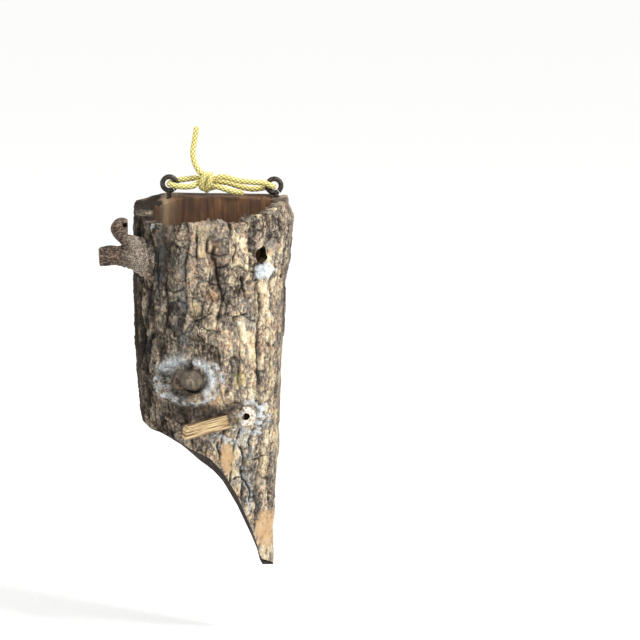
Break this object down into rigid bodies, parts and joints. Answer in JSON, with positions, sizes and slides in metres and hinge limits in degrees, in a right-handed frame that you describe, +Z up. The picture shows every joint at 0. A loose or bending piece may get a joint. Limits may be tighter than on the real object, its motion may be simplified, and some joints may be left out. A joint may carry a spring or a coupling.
{
  "type": "bird tree log wall pocket",
  "caption": "Hollow bark-covered half log with a knot scar, forked side branch and perch stick, hung flat on a wall by a cord on screw eyes",
  "frame": {"origin": "on the flat back that lies against the wall, 15 mm below its top edge, about midway across", "axes": "+Y towards the wall, +Z up, +X to the right as seen from the room"},
  "size_m": [0.1327, 0.0711, 0.3108],
  "materials": {
    "bark_wood": "rough natural bark over stained wood",
    "split_wood": "split bare wood with bark above",
    "dark_iron": "dark oxidised iron wire",
    "cord": "braided yellow cord with a slight sheen"
  },
  "bodies": {
    "root": {"log": "bark_wood", "perch_stick": "split_wood", "eye_screw_left": "dark_iron", "eye_screw_right": "dark_iron", "cord_left_loop": "cord", "cord_right_loop": "cord", "cord_knot": "cord", "cord_tail_up": "cord", "cord_tail_down": "cord"}
  },
  "joints": []
}
